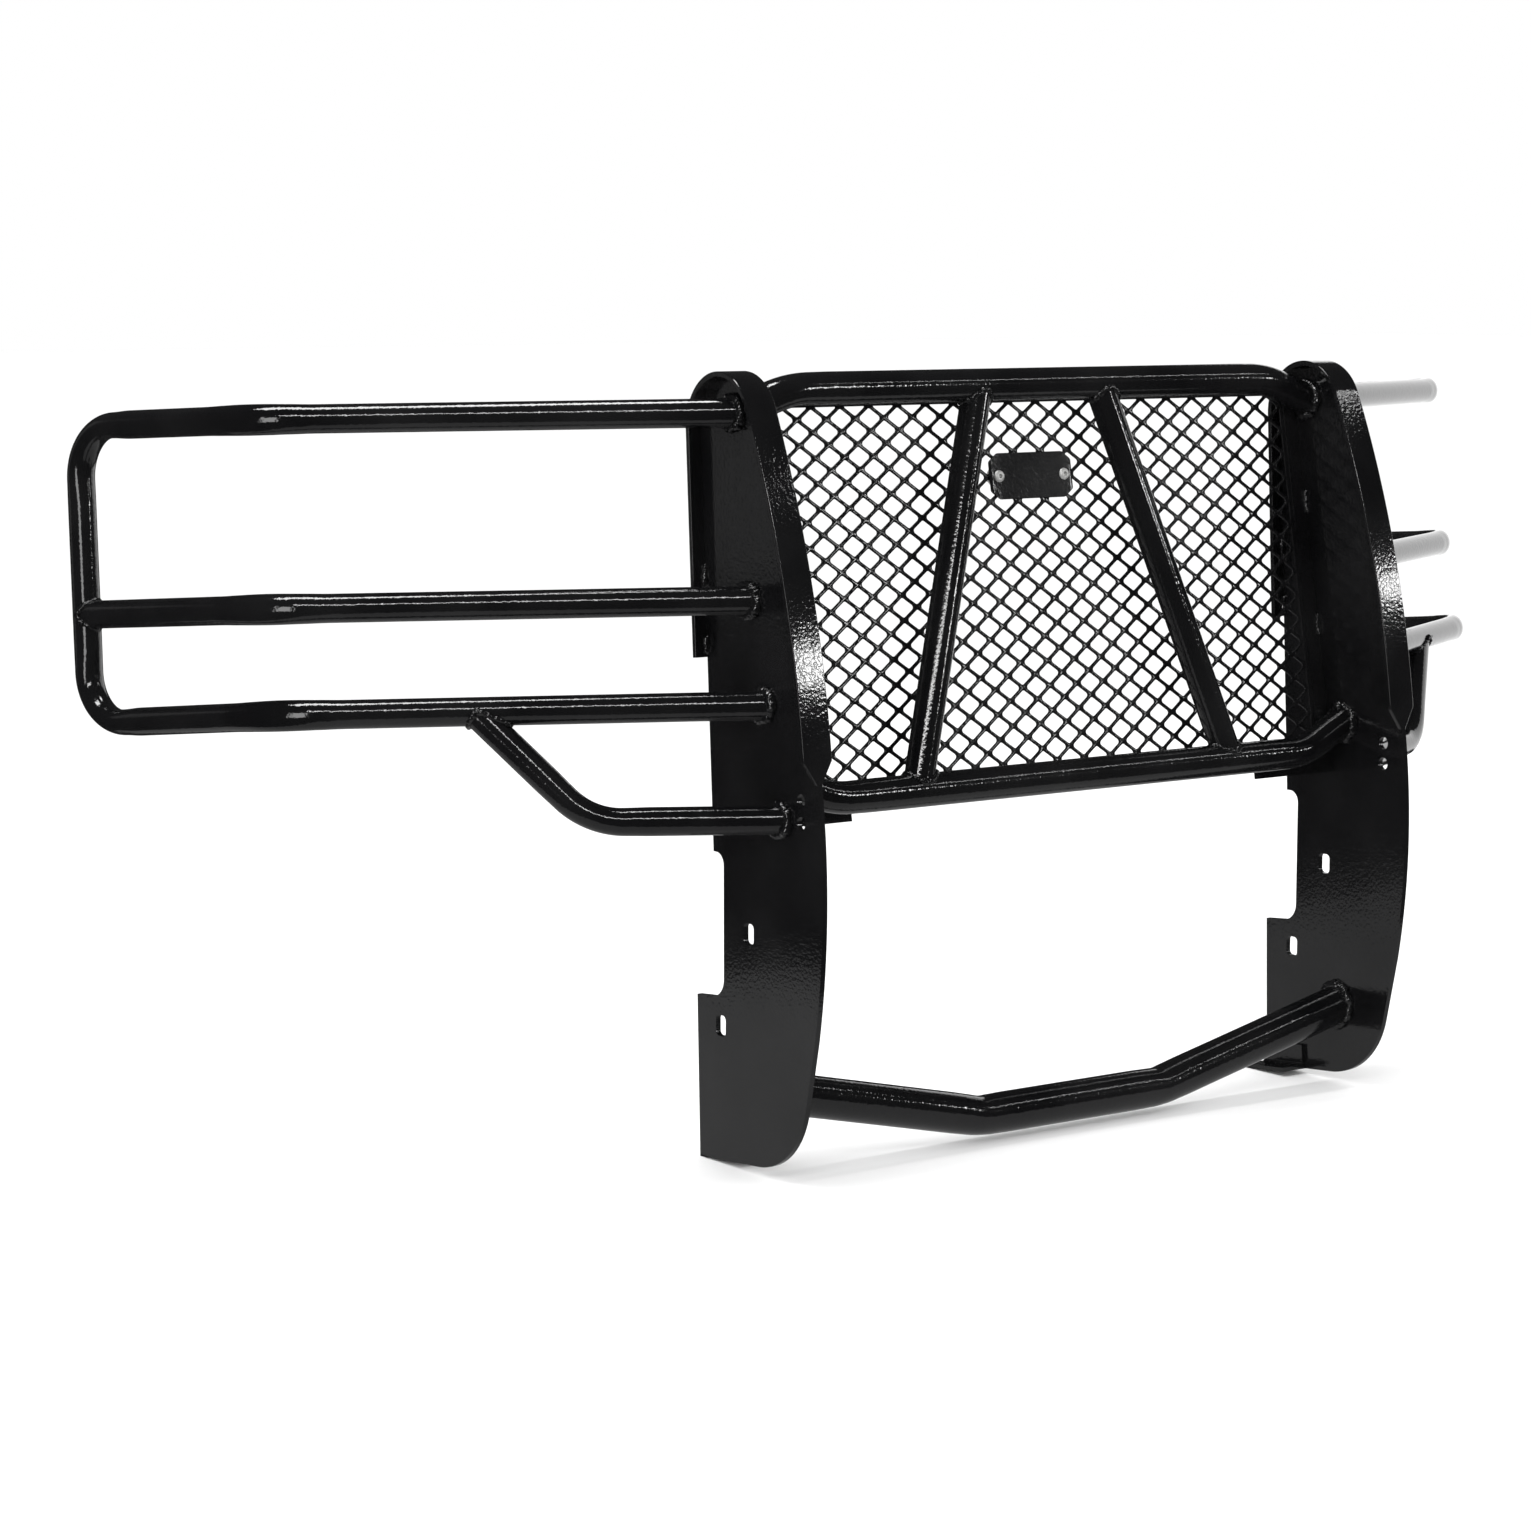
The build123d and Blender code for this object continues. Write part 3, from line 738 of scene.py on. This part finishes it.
def mesh_panel():
    """The pressed sheet: each diamond cell is a band from its edge to its hole, whole, half or quarter."""
    lookup = {}
    vertices = []
    faces = []

    def vertex(x, s, behind):
        key = (round(x * 1e5), round(s * 1e5), round(behind * 1e5))
        if key not in lookup:
            lookup[key] = len(vertices)
            vertices.append(grille_point(x, MESH_CENTRE + s, MESH_SETBACK + behind))
        return lookup[key]

    crown = MESH_T / 2
    low = crown - MESH_CROWN_DROP
    edge = MESH_T * MESH_EDGE_SHARE
    cell = cell_outline()
    shoulder = hole_outline(MESH_SHOULDER)
    hole = hole_outline(0.0)
    levels = ((cell, -crown), (shoulder, -low), (hole, -edge), (hole, edge), (shoulder, low), (cell, crown))
    slack = 1e-6
    for row in range(2 * MESH_ROWS + 1):
        for column in range(row % 2, 2 * MESH_COLUMNS + 1, 2):
            cx = column * MESH_PITCH_X / 2 - MESH_HALF_W
            cs = row * MESH_PITCH_S / 2 - MESH_HALF_L
            kept = [
                abs(cx + x) <= MESH_HALF_W + slack and abs(cs + s) <= MESH_HALF_L + slack for x, s in cell
            ]
            whole = all(kept)
            first = 0 if whole else next(j for j in range(HOLE_POINTS) if kept[j] and not kept[j - 1])
            order = [(first + i) % HOLE_POINTS for i in range(sum(kept))]
            loops = [
                [vertex(cx + outline[j][0], cs + outline[j][1], behind) for j in order]
                for outline, behind in levels
            ]
            spans = len(order) if whole else len(order) - 1
            for near, far in zip(loops, loops[1:]):
                for j in range(spans):
                    k = (j + 1) % len(order)
                    faces.append((near[k], near[j], far[j], far[k]))
            if not whole:
                faces.append(tuple(loop[0] for loop in loops))
                faces.append(tuple(loop[-1] for loop in reversed(loops)))
    return vertices, faces


mesh_vertices, mesh_faces = mesh_panel()
finish_piece(
    "grille_mesh_skin", mesh_vertices, mesh_faces, MESH_PAINT, ("grille_mesh",),
    math.radians(60),
)


def mesh_rim_rings():
    """Rings at the mitred corners of the plain margin round the pressed sheet."""
    rings = []
    overlap = 0.0006
    for side_x, side_s in ((-1, -1), (1, -1), (1, 1), (-1, 1)):
        ring = []
        for across, below in strip_section((MESH_MARGIN + overlap) / 2, MESH_T + 0.0002, 0.0005, 2):
            out = across + (MESH_MARGIN - overlap) / 2
            x = side_x * (MESH_HALF_W + out)
            along = MESH_CENTRE + side_s * (MESH_HALF_L + out)
            ring.append(grille_point(x, along, MESH_SETBACK - MESH_T / 2 - 0.0001 + below))
        rings.append(ring)
    return rings


rim_vertices, rim_faces = loft(mesh_rim_rings(), closed=True)
finish_piece(
    "mesh_rim", rim_vertices, rim_faces, MESH_PAINT, (), math.radians(35), flat_faces=True
)

# --- badge plate: blank, corners cut, ends eased back -----------------------------------
BADGE_BEND_X = 0.046
BADGE_BEND_SLOPE = 0.015
BADGE_EDGE_R = 0.0006
BADGE_PROUD = 0.0012
badge_along = MESH_CENTRE + BADGE_ROW * MESH_PITCH_S
badge_front = MESH_SETBACK - MESH_T / 2 - BADGE_T


def badge_rings():
    """Upright sections of the badge plate from its left end to its right end."""
    rings = []
    stations = 61
    for i in range(stations):
        x = BADGE_WIDTH * (i / (stations - 1) - 0.5)
        from_end = BADGE_WIDTH / 2 - abs(x)
        cut = max(0.0, 1 - from_end / BADGE_CHAMFER[0]) * BADGE_CHAMFER[1]
        end_round = BADGE_EDGE_R if i in (0, stations - 1) else 0.0
        half = BADGE_HEIGHT / 2 - cut - end_round
        back = max(0.0, abs(x) - BADGE_BEND_X) * BADGE_BEND_SLOPE
        thickness = BADGE_T - 2 * end_round
        ring = []
        for across, below in strip_section(half, thickness, BADGE_EDGE_R, 3):
            behind = badge_front + back + end_round + below - BADGE_PROUD
            ring.append(grille_point(x, badge_along + across, behind))
        rings.append(ring)
    return rings


badge_vertices, badge_faces = loft(badge_rings())
finish_piece(
    "badge_plate_skin", badge_vertices, badge_faces, BADGE_PAINT, ("badge_plate",),
    math.radians(35), flat_faces=True,
)

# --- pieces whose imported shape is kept: eased edges and paint ---------------------------
kept_nodes = {
    "upright_web": (PAINT, 0.0007),
    "lower_plate": (PAINT, 0.0007),
    "mesh_side_bar": (MESH_PAINT, 0.0006),
    "mesh_tab": (PAINT, 0.0006),
    "foot_bracket": (PAINT, 0.0007),
}
finishes = {f"{name}_{side}": value for name, value in kept_nodes.items() for side in SIDES}
finishes.update({name: (STEEL, 0.0002) for name in ("badge_bolts", "badge_washers", "badge_nuts")})
for name, (material, width) in finishes.items():
    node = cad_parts[name]
    node.data.materials.clear()
    node.data.materials.append(material)
    eased = node.modifiers.new("eased_edges", "BEVEL")
    eased.width = width
    eased.segments = 2
    eased.limit_method = "ANGLE"
    eased.angle_limit = math.radians(40)
    eased.harden_normals = True

# --- floor, lights and camera -----------------------------------------------------------


def floor_material():
    """Pale matt floor with a faint unevenness."""
    material, nodes, links, shader, coords = new_material("pale_floor")
    cloud = noise_node(nodes, links, coords, 1.5, 3)
    links.new(
        colour_mix(nodes, links, cloud.outputs["Fac"], (0.86, 0.86, 0.86), (0.90, 0.90, 0.90)),
        shader.inputs["Base Color"],
    )
    shader.inputs["Roughness"].default_value = 0.9
    shader.inputs["Specular IOR Level"].default_value = 0.1
    return material


floor_mesh = bpy.data.meshes.new("floor")
floor_half = 40.0
floor_corners = [
    (-floor_half, -floor_half, 0),
    (floor_half, -floor_half, 0),
    (floor_half, floor_half, 0),
    (-floor_half, floor_half, 0),
]
floor_mesh.from_pydata(floor_corners, [], [(0, 1, 2, 3)])
floor_mesh.materials.append(floor_material())
floor = bpy.data.objects.new("floor", floor_mesh)
bpy.context.scene.collection.objects.link(floor)
floor.visible_glossy = False


def softbox(name, place, target, width, height, power):
    """A rectangular area light aimed at a point."""
    data = bpy.data.lights.new(name, "AREA")
    data.shape = "RECTANGLE"
    data.size = width
    data.size_y = height
    data.energy = power
    lamp = bpy.data.objects.new(name, data)
    lamp.location = place
    lamp.rotation_euler = (Vector(target) - Vector(place)).to_track_quat("-Z", "Y").to_euler()
    lamp.visible_camera = False
    bpy.context.scene.collection.objects.link(lamp)


MIDDLE = (0, 0, 0.5)
softbox("key_near", (1.95, -3.4, 1.45), MIDDLE, 0.3, 0.28, 8)
softbox("key_far", (3.1, -2.75, 1.55), MIDDLE, 0.3, 0.16, 5)
softbox("front_high", (2.75, -2.55, 2.9), MIDDLE, 1.4, 0.06, 4.5)
softbox("camera_high", (-2.4, -3.1, 2.7), (-0.5, 0, 0.6), 2.5, 0.25, 36)
softbox("overhead", (-0.9, 0.1, 2.6), (-0.9, 0.05, 0.5), 1.8, 0.45, 40)
softbox("left_front", (-3.3, -1.6, 0.9), MIDDLE, 0.9, 1.4, 20)
softbox("right_side", (3.2, 0.7, 0.9), (0.3, 0.1, 0.6), 3.4, 2.6, 37)
softbox("back_left", (-2.1, 1.85, 1.05), (-0.3, 0, 0.6), 0.7, 1.3, 0.5)
softbox("floor_bounce", (0, 0.0, 0.002), (0, 0.0, 1.0), 2.4, 1.5, 4.2)

# The backdrop is white to the camera and lights matt surfaces, but is dim in the gloss paint.
world = bpy.data.worlds.new("studio")
bpy.context.scene.world = world
world.use_nodes = True
sky_nodes = world.node_tree.nodes
sky_links = world.node_tree.links
background = sky_nodes["Background"]
background.inputs["Color"].default_value = (1, 1, 1, 1)
light_path = sky_nodes.new("ShaderNodeLightPath")
gloss_level = sky_nodes.new("ShaderNodeMapRange")
gloss_level.inputs["To Min"].default_value = 1.25
gloss_level.inputs["To Max"].default_value = 0.03
camera_level = sky_nodes.new("ShaderNodeMix")
camera_level.inputs["B"].default_value = 1.0
sky_links.new(light_path.outputs["Is Glossy Ray"], gloss_level.inputs["Value"])
sky_links.new(light_path.outputs["Is Camera Ray"], camera_level.inputs["Factor"])
sky_links.new(gloss_level.outputs["Result"], camera_level.inputs["A"])
sky_links.new(camera_level.outputs["Result"], background.inputs["Strength"])

# The camera stands in front and to the left, a little above the guard, and looks slightly down.
CAMERA_PLACE = at(-2.7455, -3.189, 0.997)
CAMERA_YAW = math.radians(35)
CAMERA_DOWN = math.radians(7.57)
camera_data = bpy.data.cameras.new("camera")
camera_data.sensor_width = 36
camera_data.lens = 87.33
camera_data.clip_end = 100
camera = bpy.data.objects.new("camera", camera_data)
camera.location = CAMERA_PLACE
camera.rotation_euler = (math.pi / 2 - CAMERA_DOWN, 0, -CAMERA_YAW)
bpy.context.scene.collection.objects.link(camera)
bpy.context.scene.camera = camera

bpy.context.scene.view_settings.view_transform = "Standard"
